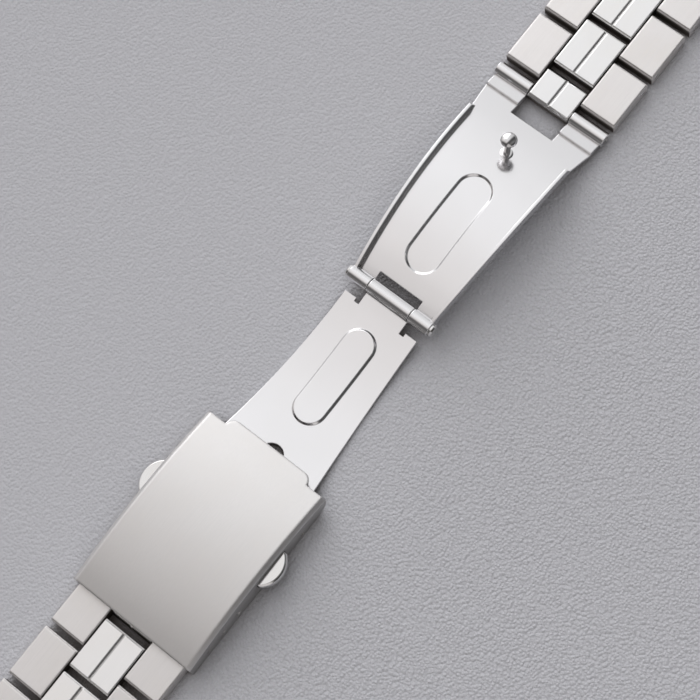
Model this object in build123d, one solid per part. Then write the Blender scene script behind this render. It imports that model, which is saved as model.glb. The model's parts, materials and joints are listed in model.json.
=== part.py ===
"""Link watch bracelet, lying open and face up, in millimetres.

X runs along the bracelet, from the cover side to the blade side, Y across it and Z up.
A folding clasp joins two runs of links. The clasp is drawn closed first, as arcs about
one centre below the cover, and its blades are then turned to where they lie when open.
"""
from build123d import *
import math
import os

# Links
bracelet_width = 20.0
rows_per_side = 5
row_pitch = 9.5
link_length = 8.45
link_thickness = 2.6
outer_link_width = 6.15
link_side_gap = 0.17
centre_groove_width = 0.5
centre_groove_depth = 0.25
link_overhang = 1.15
link_pin_radius = 0.5
hinge_clearance = 0.05
link_pin_recess = 0.1
pin_seat_depth = 1.0
lip_depth = 0.22
lip_drop = 0.3
link_edge_chamfer = 0.15
link_foot_chamfer = 0.35

# Half links, which join the rows to the clasp
half_link_pitch = 3.2
half_link_thickness = 2.1
half_link_nose = 0.45

# End links, which take the lug spring bars of a watch case
end_link_reach = 8.6
lug_bore_radius = 0.9

# Clasp cover
cover_length = 31.0
cover_side_gap = 0.1
cover_end_height = 3.8
cover_middle_height = 5.8
cover_plate = 0.9
cover_wall = 0.9
cover_edge_chamfer = 0.6
cover_front_round = 3.0
tongue_reach = 1.4
tongue_plate = 0.6
tongue_inset = 3.4
tongue_corner = 1.5
adjust_hole_radius = 0.5
adjust_hole_spacing = 3.35
adjust_holes = 3
adjust_hole_from_rear = 3.9
adjust_hole_height = 1.8

# Hinge pins of the blades
cover_hinge_from_front = 5.8
cover_hinge_pin_radius = 0.5
blade_hinge_pin_radius = 0.7
blade_link_pin_radius = 0.65
pin_head_radius = 1.05
pin_head_thickness = 0.6

# Blades, as sheet metal at given depths below the top of the cover when closed, each
# width as an inset from the inside of the cover's walls
sheet = 0.5
middle_blade_depth = 4.4
middle_arc_radius = 80.0
blade_span = 35.0
base_span = 39.0
roll_gap = 0.22
roll_gap_angle = 35.0
knuckle_side_gap = 0.12
centre_knuckle_half_width = 3.8

middle_blade_end_setback = 2.75
middle_blade_end_inset = 3.4
middle_blade_waist_inset = 2.9
middle_blade_waist_at = 16.0
middle_blade_front_inset = 1.75
middle_blade_front_at = 29.0
middle_blade_root_inset = 1.5
relief_width = 0.8
relief_depth = 0.6

base_blade_end_inset = 2.8
ear_stand = 0.15
base_blade_waist_inset = 1.48
base_blade_waist_at = 16.0
base_blade_far_inset = 1.0
flange_length = 31.6
flange_height = 1.4
flange_run_out = 1.0
hinge_slot_reach = 2.4
link_slot_setback = 4.9
tail_setback = 3.2
strip_inset = 0.4

emboss_from_hinge = 14.1
emboss_depth = 0.35
emboss_bevel = 0.28
middle_emboss_length = 16.8
middle_emboss_width = 5.4
base_emboss_length = 17.6
base_emboss_width = 5.7

# Latch
button_from_front = 12.5
button_length = 6.1
button_height = 2.2
button_reach = 1.9
button_end_step = 0.45
button_travel = 0.9
button_clearance = 0.1
button_middle_height = 2.9
button_shoulder_overlap = 0.6
button_shoulder_depth = 1.3
button_edge_chamfer = 0.3
hook_thickness = 0.55
hook_bottom_height = 2.6
hook_arm_width = 1.3
hook_depth = 2.1
hook_lane_gap = 0.4
stud_neck_radius = 0.7
stud_head_radius = 1.15
stud_head_height = 1.1
stud_head_shares = [(0.9, 0.0), (1.0, 0.25), (0.85, 0.6), (0.45, 0.9), (0.0, 1.0)]
stud_foot_radius = 1.15
stud_foot_height = 0.2
stud_head_top_depth = 1.4
stud_hook_clearance = 0.15
stud_lane_clearance = 0.25
stud_hole_radius = 1.86
cage_sheet = 0.35
cage_clearance = 0.15
cage_end_gap = 0.4
cage_inset = 0.9
spring_radius = 0.5
spring_post_width = 1.3
spring_post_height = 1.25

# Spring bar of the cover
bar_tube_radius = 0.75
bar_tube_wall = 0.2
bar_tube_setback = 1.5
bar_tip_shank = 1.3
bar_flange_thickness = 0.3
bar_tip_clearance = 0.05
bar_travel = 1.0

overrun = 5.0

# Values worked out from the sizes above
half_width = bracelet_width / 2
centre_half_width = half_width - outer_link_width - link_side_gap
link_half = link_thickness / 2
link_bore_radius = link_pin_radius + hinge_clearance
pin_seat = half_width - outer_link_width + pin_seat_depth
cover_half = cover_length / 2
cover_rise = cover_middle_height - cover_end_height
cover_radius = (cover_half ** 2 + cover_rise ** 2) / (2 * cover_rise)
centre_height = cover_middle_height - cover_radius
wall_inside = half_width + cover_side_gap
wall_outside = wall_inside + cover_wall
cover_width = 2 * wall_outside
tongue_half_width = wall_outside - tongue_inset
middle_blade_end_half_width = wall_inside - middle_blade_end_inset
middle_blade_waist_half_width = wall_inside - middle_blade_waist_inset
middle_blade_front_half_width = wall_inside - middle_blade_front_inset
middle_blade_root_half_width = wall_inside - middle_blade_root_inset
base_blade_end_half_width = wall_inside - base_blade_end_inset
base_blade_waist_half_width = wall_inside - base_blade_waist_inset
base_blade_far_half_width = wall_inside - base_blade_far_inset
strip_half_width = wall_inside - strip_inset
cage_half_width = wall_inside - cage_inset
plate_inside_radius = cover_radius - cover_plate

blade_barrel_radius = blade_hinge_pin_radius + hinge_clearance + sheet
cover_barrel_radius = cover_hinge_pin_radius + hinge_clearance + sheet
link_barrel_radius = blade_link_pin_radius + hinge_clearance + sheet
middle_radius = cover_radius - middle_blade_depth
base_radius = middle_radius - 2 * blade_barrel_radius + sheet
blade_hinge_radius = (middle_radius + base_radius) / 2
cover_hinge_radius = middle_radius + cover_barrel_radius - sheet / 2
middle_own_hinge_radius = middle_arc_radius - blade_barrel_radius + sheet / 2
middle_own_root_radius = middle_arc_radius + cover_barrel_radius - sheet / 2
link_pin_orbit = base_radius + link_barrel_radius - sheet / 2

button_x = cover_half - button_from_front
cover_hinge_x = cover_half - cover_hinge_from_front


def polar(radius, angle):
    """A point at an angle in degrees from straight up, towards +X."""
    turn = math.radians(angle)
    return (radius * math.sin(turn), radius * math.cos(turn))


def height_on(radius, x):
    """Height of a circle about the clasp's centre at a place along the cover."""
    return math.sqrt(radius ** 2 - x ** 2) + centre_height


def spread(radius_a, radius_b, chord):
    """Angle in degrees between two points on two circles, from the chord between them."""
    part = (radius_a ** 2 + radius_b ** 2 - chord ** 2) / (2 * radius_a * radius_b)
    return math.degrees(math.acos(part))


middle_angle = spread(cover_hinge_radius, blade_hinge_radius, blade_span)
middle_own_angle = spread(middle_own_root_radius, middle_own_hinge_radius, blade_span)
base_angle = spread(blade_hinge_radius, link_pin_orbit, base_span)
cover_hinge_angle = math.degrees(math.asin(cover_hinge_x / cover_hinge_radius))
stud_angle = math.degrees(math.asin(button_x / middle_radius))
stud_from_hinge_angle = stud_angle - cover_hinge_angle + middle_angle
cover_hinge_height = height_on(cover_hinge_radius, cover_hinge_x)

# Where the hinges lie when the clasp is open, with the middle blade's belly on the table
cover_hinge_at = (cover_hinge_x, cover_hinge_height)
middle_arc_height = middle_arc_radius + sheet / 2
belly_angle = math.degrees(math.acos(
    (middle_arc_height - cover_hinge_height) / middle_own_root_radius))
belly_x = cover_hinge_x + polar(middle_own_root_radius, belly_angle)[0]
blade_hinge_arm = polar(middle_own_hinge_radius, middle_own_angle - belly_angle)
blade_hinge_at = (belly_x + blade_hinge_arm[0], middle_arc_height - blade_hinge_arm[1])
link_rise = link_half - blade_hinge_at[1]
link_pin_at = (
    blade_hinge_at[0] + math.sqrt(base_span ** 2 - link_rise ** 2),
    link_half,
)
spring_bar_at = (-cover_half + adjust_hole_from_rear, adjust_hole_height)
half_link_drop = adjust_hole_height - link_half
cover_rows_x = spring_bar_at[0] - math.sqrt(half_link_pitch ** 2 - half_link_drop ** 2)
blade_rows_x = link_pin_at[0] + half_link_pitch
run_length = rows_per_side * row_pitch + end_link_reach
end_barrel_radius = link_half
low_x = cover_rows_x - run_length - end_barrel_radius
high_x = blade_rows_x + run_length + end_barrel_radius
middle_x = (low_x + high_x) / 2


def across(face, y_from, y_to):
    """Extrude a face drawn in X and Z from one place across the bracelet to another."""
    return Pos(0, y_to, 0) * extrude(Plane.XZ * face, y_to - y_from, dir=(0, -1, 0))


def outline(*points):
    return Face(Wire(Polyline(*points, close=True)))


def ring_sector(outer, inner, start, end, half):
    """A curved slab about the origin, between two radii and two angles."""
    middle = (start + end) / 2
    edge = Wire([
        ThreePointArc(polar(outer, start), polar(outer, middle), polar(outer, end)),
        Line(polar(outer, end), polar(inner, end)),
        ThreePointArc(polar(inner, end), polar(inner, middle), polar(inner, start)),
        Line(polar(inner, start), polar(outer, start)),
    ])
    return across(Face(edge), -half, half)


def rod(point, radius, y_from, y_to):
    """A round bar across the bracelet at a point in X and Z."""
    disc = Pos(point[0], point[1]) * Circle(radius)
    return across(disc, y_from, y_to)


def both_sides(solid):
    """The solid and its mirror image across the bracelet."""
    return [solid, mirror(solid, Plane.XZ)]


def seat(solids, from_a, from_b, to_a, to_b):
    """Turn and move solids so that two hinge points land where they should."""
    old = math.degrees(math.atan2(from_b[1] - from_a[1], from_b[0] - from_a[0]))
    new = math.degrees(math.atan2(to_b[1] - to_a[1], to_b[0] - to_a[0]))
    place = Pos(to_a[0], 0, to_a[1]) * Rot(0, old - new, 0) * Pos(-from_a[0], 0, -from_a[1])
    return [place * s for s in solids]


# Link rows


def link_outline(near, far, half):
    """Side view of a link: a lipped top, a chamfered foot and square ends."""
    top = half
    ledge = half - lip_drop
    foot = link_foot_chamfer
    return outline(
        (near + foot, -half),
        (far - foot, -half),
        (far, -half + foot),
        (far, ledge),
        (far - lip_depth, ledge),
        (far - lip_depth, top),
        (near + lip_depth, top),
        (near + lip_depth, ledge),
        (near, ledge),
        (near, -half + foot),
    )


def break_top_edges(link, y_edge, size):
    """Chamfer the long top edge of a link at one side."""
    edges = [
        e for e in link.edges().filter_by(Axis.X)
        if abs(e.center().Y - y_edge) < hinge_clearance
    ]
    return chamfer(max(edges, key=lambda e: e.center().Z), size)


def outer_links(pins):
    """The two outer links of a row on the pins pressed into them, in the row's own frame."""
    link = across(link_outline(-link_overhang, link_length - link_overhang, link_half),
                  half_width - outer_link_width, half_width)
    link = break_top_edges(link, half_width, link_edge_chamfer)
    link = break_top_edges(link, half_width - outer_link_width, link_edge_chamfer)
    yoke = link + mirror(link, Plane.XZ)
    for x in pins:
        yoke += rod((x, 0), link_pin_radius, -pin_seat, pin_seat)
    return [yoke]


def centre_links(side, near, far, half, running_bores, fixed_bores):
    """A pair of centre links in one, with the seam as a groove along the top."""
    link = across(side, -centre_half_width, centre_half_width)
    for y_edge in (-centre_half_width, centre_half_width):
        link = break_top_edges(link, y_edge, link_edge_chamfer)
    groove = Plane.YZ * outline(
        (-centre_groove_width / 2, half),
        (0, half - centre_groove_depth),
        (centre_groove_width / 2, half),
    )
    link -= Pos(near, 0, 0) * extrude(groove, far - near, dir=(1, 0, 0))
    for x in running_bores:
        link -= rod((x, 0), link_bore_radius, -half_width, half_width)
    for x in fixed_bores:
        link -= rod((x, 0), link_pin_radius, -half_width, half_width)
    return [link]


fixed_pin_x = (link_length - link_overhang + row_pitch + link_overhang - link_length) / 2


def link_row():
    """One row: outer links with the hinge pin and fixed pin, and centre links."""
    near = row_pitch + link_overhang - link_length
    far = row_pitch + link_overhang
    side = link_outline(near, far, link_half)
    return {
        "outer_links": outer_links([0, fixed_pin_x]),
        "centre_links": centre_links(side, near, far, link_half, [row_pitch], [fixed_pin_x]),
    }


def half_links(clasp_bore_radius):
    """The short centre pair between the clasp's pin and the first row."""
    half = half_link_thickness / 2
    near = -link_overhang
    far = half_link_pitch + link_overhang
    nose = half_link_nose
    side = outline(
        (near + nose, -half),
        (far - nose, -half),
        (far, -half + nose),
        (far, half - nose),
        (far - nose, half),
        (near + nose, half),
        (near, half - nose),
        (near, -half + nose),
    )
    links = centre_links(side, near, far, half, [half_link_pitch], [])
    return [link - rod((0, 0), clasp_bore_radius, -half_width, half_width) for link in links]


def end_link():
    """The last link: a fork with the last hinge pin and a full barrel for the lug bar."""
    fork = across(link_outline(-link_overhang, end_link_reach, link_half),
                  half_width - outer_link_width, half_width)
    fork = break_top_edges(fork, half_width, link_edge_chamfer)
    gap = link_overhang + row_pitch - link_length
    bridge = across(outline(
        (gap, -link_half + link_foot_chamfer),
        (gap + link_foot_chamfer, -link_half),
        (end_link_reach, -link_half),
        (end_link_reach, link_half),
        (gap + lip_depth, link_half),
        (gap + lip_depth, link_half - lip_drop),
        (gap, link_half - lip_drop),
    ), -half_width + outer_link_width, half_width - outer_link_width)
    barrel = rod((end_link_reach, 0), end_barrel_radius, -half_width, half_width)
    body = bridge + barrel
    for side in both_sides(fork):
        body += side
    body -= rod((end_link_reach, 0), lug_bore_radius, -half_width - overrun, half_width + overrun)
    return [body + rod((0, 0), link_pin_radius, -pin_seat, pin_seat)]


# Clasp cover


def cover_outline(top_radius, half_length, round_front):
    """Side view of the cover: straight below, arched above."""
    low_front = (half_length - round_front, 0)
    up_front = (half_length, round_front)
    bend = round_front * (1 - math.sqrt(0.5))
    end_height = height_on(top_radius, half_length)
    top_middle = (0, top_radius + centre_height)
    return Face(Wire([
        Line((-half_length, 0), low_front),
        ThreePointArc(low_front, (half_length - bend, bend), up_front),
        Line(up_front, (half_length, end_height)),
        ThreePointArc((half_length, end_height), top_middle, (-half_length, end_height)),
        Line((-half_length, end_height), (-half_length, 0)),
    ]))


def clasp_cover():
    shell = across(cover_outline(cover_radius, cover_half, cover_front_round),
                   -wall_outside, wall_outside)
    top_edges = [
        e for e in shell.edges()
        if abs(abs(e.center().Y) - wall_outside) < sheet and e.center().Z > cover_end_height
    ]
    shell = chamfer(top_edges, cover_edge_chamfer)
    hollow_half = cover_half + overrun
    hollow = across(outline(
        (-hollow_half, -overrun),
        (hollow_half, -overrun),
        (hollow_half, cover_middle_height),
        (-hollow_half, cover_middle_height),
    ), -wall_inside, wall_inside)
    below_plate = rod((0, centre_height), plate_inside_radius, -wall_inside, wall_inside)
    shell -= hollow & below_plate
    tongue_angle = math.degrees(math.asin((cover_half + tongue_reach) / cover_radius))
    root_angle = math.degrees(math.asin((cover_half - cover_plate) / cover_radius))
    tongue = Pos(0, 0, centre_height) * ring_sector(
        cover_radius, cover_radius - tongue_plate, root_angle, tongue_angle, tongue_half_width)
    corners = [
        e for e in tongue.edges()
        if e.center().X > cover_half and abs(e.center().Y) > tongue_half_width - sheet
        and e.length < 2 * cover_plate
    ]
    shell += fillet(corners, tongue_corner)
    for n in range(adjust_holes):
        x = spring_bar_at[0] + n * adjust_hole_spacing
        shell -= rod((x, adjust_hole_height), adjust_hole_radius,
                     -wall_outside - overrun, wall_outside + overrun)
    shell -= rod(cover_hinge_at, cover_hinge_pin_radius,
                 -wall_outside - overrun, wall_outside + overrun)
    slot = Pos(button_x, 0, button_middle_height) * Box(
        button_length + 2 * button_clearance, cover_width + overrun,
        button_height + 2 * button_clearance)
    return [shell - slot]


# Blades, drawn about the clasp's centre with their middle straight up


def plan(face):
    """Extrude an outline drawn from above through the blades' sheet."""
    return extrude(face, middle_arc_radius + overrun, dir=(0, 0, 1))


def mirrored_edges(edges):
    """Edges of one long side and their mirror images across the bracelet."""
    return edges + [e.mirror(Plane.XZ) for e in edges]


def along(start_angle, radius, distance):
    """The angle at a distance along a blade, measured from its first hinge."""
    return start_angle + math.degrees(distance / radius)


def barrel(point, outer, bore, y_from, y_to):
    return rod(point, outer, y_from, y_to) - rod(point, bore, y_from, y_to)


def gap_cut(point, reach, angle, half):
    """The slit where the rolled edge of a knuckle comes back to its sheet."""
    slit = Pos(reach / 2, 0, 0) * Box(reach, 2 * half, roll_gap)
    return Pos(point[0], 0, point[1]) * Rot(0, angle, 0) * slit


def emboss_pad(radius_outer, radius_inner, angle, length, width):
    """A curved pad with round ends, at an angle along a blade."""
    slot = Rot(0, angle, 0) * plan(SlotOverall(length, width))
    reach = math.degrees(length / radius_inner)
    return ring_sector(radius_outer, radius_inner, angle - reach, angle + reach, width) & slot


def bevelled(pad, radius):
    """The pad with the edge of its face at one radius bevelled off."""
    rim = [e for e in pad.edges() if abs(edge_radius(e) - radius) < emboss_bevel / 2]
    return chamfer(rim, emboss_bevel)


def edge_radius(edge):
    """Distance of an edge's middle from the clasp's centre line."""
    point = edge.position_at(0.5)
    return math.hypot(point.X, point.Z)


middle_start = -middle_own_angle / 2
middle_end = middle_own_angle / 2
middle_hinge_point = polar(middle_own_hinge_radius, middle_start)
middle_root_point = polar(middle_own_root_radius, middle_end)


def middle_blade():
    """The inner blade, from the cover's hinge to the hinge of the base blade."""
    def x_at(distance):
        return polar(middle_arc_radius, along(middle_start, middle_arc_radius, distance))[0]

    x_hinge = x_at(0)
    x_end = x_at(middle_blade_end_setback)
    x_relief = x_at(middle_blade_end_setback + relief_depth)
    x_waist = x_at(middle_blade_waist_at)
    x_front = x_at(middle_blade_front_at)
    x_root = polar(middle_arc_radius, middle_end)[0]
    knuckle = centre_knuckle_half_width
    relief = knuckle + relief_width
    side = [
        Line((x_hinge, knuckle), (x_relief, knuckle)),
        Line((x_relief, knuckle), (x_relief, relief)),
        Line((x_relief, relief), (x_end, relief)),
        Line((x_end, relief), (x_end, middle_blade_end_half_width)),
        ThreePointArc((x_end, middle_blade_end_half_width),
                      (x_waist, middle_blade_waist_half_width),
                      (x_front, middle_blade_front_half_width)),
        Line((x_front, middle_blade_front_half_width), (x_root, middle_blade_root_half_width)),
    ]
    ends = [
        Line((x_hinge, -knuckle), (x_hinge, knuckle)),
        Line((x_root, -middle_blade_root_half_width), (x_root, middle_blade_root_half_width)),
    ]
    outer = middle_arc_radius + sheet / 2
    inner = middle_arc_radius - sheet / 2
    blade = ring_sector(outer, inner, middle_start, middle_end, cover_width)
    blade &= plan(Face(Wire(mirrored_edges(side) + ends)))

    emboss_angle = along(middle_start, middle_arc_radius, emboss_from_hinge)
    pad = emboss_pad(middle_arc_radius, inner - emboss_depth, emboss_angle,
                     middle_emboss_length, middle_emboss_width)
    blade += bevelled(pad, inner - emboss_depth)
    pocket_length = middle_emboss_length - 2 * sheet
    pocket_width = middle_emboss_width - 2 * sheet
    blade -= emboss_pad(outer + overrun, outer - emboss_depth, emboss_angle,
                        pocket_length, pocket_width)

    stud_distance = math.radians(stud_from_hinge_angle) * middle_radius
    stud_at = along(middle_start, middle_arc_radius, stud_distance)
    blade -= Rot(0, stud_at, 0) * plan(Circle(stud_hole_radius))

    blade += barrel(middle_hinge_point, blade_barrel_radius,
                    blade_hinge_pin_radius + hinge_clearance, -knuckle, knuckle)
    blade -= gap_cut(middle_hinge_point, blade_barrel_radius + sheet / 2, -roll_gap_angle,
                     knuckle + overrun)
    root = middle_blade_root_half_width
    blade += barrel(middle_root_point, cover_barrel_radius,
                    cover_hinge_pin_radius + hinge_clearance, -root, root)
    return [blade]


base_start = -base_angle / 2
base_end = base_angle / 2
base_hinge_point = polar(blade_hinge_radius, base_start)
base_link_point = polar(link_pin_orbit, base_end)
link_knuckle_inside = centre_half_width + link_side_gap


def base_blade():
    """The outer blade, with side flanges, from the blades' hinge to the link pin."""
    def angle_at(distance):
        return along(base_start, base_radius, distance)

    def x_at(distance):
        return polar(base_radius, angle_at(distance))[0]

    outer = base_radius + sheet / 2
    inner = base_radius - sheet / 2
    base_length = math.radians(base_angle) * base_radius
    tail_at = base_length - tail_setback
    x_hinge = x_at(0)
    x_waist = x_at(base_blade_waist_at)
    x_far = x_at(flange_length)
    x_tail = x_at(tail_at)
    x_pin = x_at(base_length)
    flange_arc = ThreePointArc((x_hinge, base_blade_end_half_width),
                               (x_waist, base_blade_waist_half_width),
                               (x_far, base_blade_far_half_width))
    side = [
        flange_arc,
        Line((x_far, base_blade_far_half_width), (x_tail, strip_half_width)),
        Line((x_tail, strip_half_width), (x_pin, strip_half_width)),
    ]
    ends = [
        Line((x_hinge, -base_blade_end_half_width), (x_hinge, base_blade_end_half_width)),
        Line((x_pin, -strip_half_width), (x_pin, strip_half_width)),
    ]
    footprint = plan(Face(Wire(mirrored_edges(side) + ends)))
    blade = ring_sector(outer, inner, base_start, base_end, cover_width)
    blade += ring_sector(outer + sheet, inner, angle_at(tail_at), base_end, cover_width)
    blade &= footprint

    wall_arc = ThreePointArc((x_hinge, base_blade_end_half_width - sheet),
                             (x_waist, base_blade_waist_half_width - sheet),
                             (x_far, base_blade_far_half_width - sheet))
    strip = Face(Wire([
        flange_arc,
        Line((x_far, base_blade_far_half_width), (x_far, base_blade_far_half_width - sheet)),
        wall_arc,
        Line((x_hinge, base_blade_end_half_width - sheet), (x_hinge, base_blade_end_half_width)),
    ]))
    flange_top = outer + flange_height
    flange = plan(strip) & ring_sector(flange_top, base_radius, base_start,
                                       angle_at(flange_length + sheet), cover_width)
    flange -= across(outline(
        polar(outer, angle_at(flange_length)),
        polar(flange_top + overrun, angle_at(flange_length + flange_run_out)),
        polar(flange_top + overrun, angle_at(flange_length - flange_run_out)),
        polar(flange_top, angle_at(flange_length - flange_run_out)),
    ), -cover_width, cover_width)
    flange += rod(base_hinge_point, blade_barrel_radius,
                  base_blade_end_half_width - sheet, base_blade_end_half_width + ear_stand)
    for wall in both_sides(flange):
        blade += wall

    emboss_angle = angle_at(emboss_from_hinge)
    pad = emboss_pad(base_radius, inner - emboss_depth, emboss_angle,
                     base_emboss_length - 2 * sheet, base_emboss_width - 2 * sheet)
    blade += pad
    pocket = emboss_pad(outer + sheet, outer - emboss_depth, emboss_angle,
                        base_emboss_length, base_emboss_width)
    blade -= bevelled(pocket, outer - emboss_depth)

    slot_from = x_at(base_length - link_slot_setback)
    blade -= plan(Pos((slot_from + x_pin + overrun) / 2, 0) * Rectangle(
        x_pin + overrun - slot_from, 2 * link_knuckle_inside))
    slot_to = x_at(hinge_slot_reach)
    knuckle_inside = centre_knuckle_half_width + knuckle_side_gap
    blade -= plan(Pos((x_hinge - overrun + slot_to) / 2, 0) * Rectangle(
        slot_to - x_hinge + overrun, 2 * knuckle_inside))

    hinge_bore = blade_hinge_pin_radius + hinge_clearance
    side_knuckle = barrel(base_hinge_point, blade_barrel_radius, hinge_bore,
                          knuckle_inside, base_blade_end_half_width - sheet)
    side_knuckle -= gap_cut(base_hinge_point, blade_barrel_radius + sheet / 2, roll_gap_angle,
                            half_width)
    link_bore = blade_link_pin_radius + hinge_clearance
    link_knuckle = barrel(base_link_point, link_barrel_radius, link_bore,
                          link_knuckle_inside, half_width)
    for knuckle in both_sides(side_knuckle) + both_sides(link_knuckle):
        blade += knuckle
    blade -= rod(base_hinge_point, hinge_bore, -half_width, half_width)
    blade -= rod(base_link_point, link_bore, -half_width - overrun, half_width + overrun)
    stud_at = base_start + stud_from_hinge_angle
    blade -= Rot(0, stud_at, 0) * plan(Circle(stud_neck_radius))
    return [blade]


def latch_stud():
    """The mushroom stud riveted in the base blade, which the buttons' hooks grip."""
    bottom = base_radius - sheet / 2
    foot = base_radius + sheet / 2
    top = cover_radius - stud_head_top_depth
    head = top - stud_head_height
    dome = [(stud_head_radius * across_share, head + stud_head_height * up_share)
            for across_share, up_share in stud_head_shares]
    shape = Face(Wire(Polyline(
        (0, bottom),
        (stud_neck_radius, bottom),
        (stud_neck_radius, foot),
        (stud_foot_radius, foot),
        (stud_foot_radius, foot + stud_foot_height),
        (stud_neck_radius, foot + stud_foot_height),
        (stud_neck_radius, head),
        *dome,
        close=True,
    )))
    stud = revolve(Plane.XZ * shape, Axis.Z)
    return [Rot(0, base_start + stud_from_hinge_angle, 0) * stud]


def blade_hinge_pin():
    """The pin of the blades' hinge, riveted over outside the flanges."""
    inner = base_blade_end_half_width + ear_stand
    pin = rod(base_hinge_point, blade_hinge_pin_radius, -inner, inner)
    for head in both_sides(rod(base_hinge_point, pin_head_radius, inner,
                               inner + pin_head_thickness)):
        outside = [f for f in head.faces().filter_by(Axis.Y) if abs(f.center().Y) > inner + sheet]
        pin += chamfer(outside[0].edges(), sheet / 2)
    return [pin]


# Latch in the cover

hook_edge = stud_neck_radius + stud_hook_clearance
lane_inside = stud_head_radius + stud_lane_clearance
lane_outside = lane_inside + hook_arm_width
shoulder_outside = wall_inside - button_clearance
shoulder_inside = shoulder_outside - button_shoulder_depth
spring_post_y = hook_edge + hook_depth + button_travel + 2 * button_clearance
spring_x = (lane_inside + lane_outside) / 2
spring_height = hook_bottom_height - cage_clearance + spring_radius + button_clearance
cage_floor_top = hook_bottom_height - cage_clearance
cage_half_length = button_length / 2 + button_shoulder_overlap + cage_end_gap


def push_button():
    """The button of the +Y side: pad, shoulder, and an arm whose hook pulls on the stud."""
    half = button_length / 2
    root = wall_outside + button_end_step
    tip = wall_outside + button_reach
    inside = cage_half_width + button_travel + button_clearance
    pad = Face(Wire([
        Line((-half, inside), (half, inside)),
        Line((half, inside), (half, root)),
        ThreePointArc((half, root), (0, tip), (-half, root)),
        Line((-half, root), (-half, inside)),
    ]))
    button = Pos(0, 0, button_middle_height - button_height / 2) * extrude(
        pad, button_height, dir=(0, 0, 1))
    rims = [
        e for e in button.edges()
        if e.center().Y > root and abs(e.center().Z - button_middle_height) > button_height / 3
    ]
    button = chamfer(rims, button_edge_chamfer)
    shoulder_height = button_middle_height + button_height / 2 - sheet - hook_bottom_height
    shoulder_middle = hook_bottom_height + shoulder_height / 2
    button += Pos(0, (shoulder_inside + shoulder_outside) / 2, shoulder_middle) * Box(
        button_length + 2 * button_shoulder_overlap, button_shoulder_depth, shoulder_height)
    button += Pos(0, (shoulder_inside + root) / 2, shoulder_middle) * Box(
        button_length, root - shoulder_inside, shoulder_height)
    hook_end = -hook_edge - hook_depth
    arm = Face(Wire(Polyline(
        (lane_inside, shoulder_inside + sheet),
        (lane_inside, -hook_edge),
        (hook_lane_gap - lane_inside, -hook_edge),
        (hook_lane_gap - lane_inside, hook_end),
        (lane_outside, hook_end),
        (lane_outside, shoulder_inside + sheet),
        close=True,
    )))
    button += Pos(0, 0, hook_bottom_height) * extrude(arm, hook_thickness, dir=(0, 0, 1))
    return Pos(button_x, 0, 0) * button


def button_spring():
    """The spring of the +Y button, between its shoulder and the cage's post."""
    length = shoulder_inside - spring_post_y - cage_sheet
    centre_y = spring_post_y + cage_sheet + length / 2
    return Pos(button_x - spring_x, centre_y, spring_height) * Rot(90, 0, 0) * Cylinder(
        spring_radius, length)


def latch_cage():
    """The bridge welded under the plate, which carries the buttons and their springs."""
    length = 2 * cage_half_length
    floor_middle = cage_floor_top - cage_sheet / 2
    cage = Pos(0, 0, floor_middle) * Box(length, 2 * cage_half_width, cage_sheet)
    wall_height = cover_middle_height - cage_floor_top
    for side in (-1, 1):
        x = side * (cage_half_length - cage_sheet / 2)
        cage += Pos(x, 0, cage_floor_top + wall_height / 2) * Box(
            cage_sheet, 2 * cage_half_width, wall_height)
        cage += Pos(-side * spring_x, side * (spring_post_y + cage_sheet / 2),
                    cage_floor_top + spring_post_height / 2) * Box(
            spring_post_width, cage_sheet, spring_post_height)
    cage -= Pos(0, 0, floor_middle) * Cylinder(stud_hole_radius, overrun)
    cage = Pos(button_x, 0, 0) * cage
    return [cage & rod((0, centre_height), plate_inside_radius, -half_width, half_width)]


# Spring bar

bar_tube_end = wall_inside - bar_tube_setback
bar_flange_outside = wall_inside - button_clearance
bar_flange_inside = bar_flange_outside - bar_flange_thickness
bar_shank_end = bar_tube_end - bar_tip_shank
bar_shank_radius = bar_tube_radius - bar_tube_wall - bar_tip_clearance


def spring_bar_tube():
    return [barrel(spring_bar_at, bar_tube_radius, bar_tube_radius - bar_tube_wall,
                   -bar_tube_end, bar_tube_end)]


def spring_bar_tip():
    """The tip of the +Y side, flanged outside its tube, with its nose in the wall."""
    tip = rod(spring_bar_at, bar_shank_radius, bar_shank_end, bar_flange_inside)
    tip += rod(spring_bar_at, bar_tube_radius, bar_flange_inside, bar_flange_outside)
    nose_radius = adjust_hole_radius - bar_tip_clearance
    return tip + rod(spring_bar_at, nose_radius, bar_flange_outside,
                     wall_outside - link_pin_recess)


def spring_bar_spring():
    return [rod(spring_bar_at, bar_shank_radius, -bar_shank_end, bar_shank_end)]


def half_turn(solid):
    """The same piece at the other side of the latch, turned about the button line."""
    return Pos(button_x, 0, 0) * Rot(0, 0, 180) * Pos(-button_x, 0, 0) * solid


def towards_cover_side(solids, x, height):
    """Place a row's solids on the cover side, where rows run towards -X."""
    return [Pos(x, 0, height) * Rot(0, 0, 180) * s for s in solids]


def towards_blade_side(solids, x, height):
    return [Pos(x, 0, height) * s for s in solids]


def placed_middle(solids):
    return seat(solids, middle_root_point, middle_hinge_point, cover_hinge_at, blade_hinge_at)


def placed_base(solids):
    return seat(solids, base_hinge_point, base_link_point, blade_hinge_at, link_pin_at)


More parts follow.
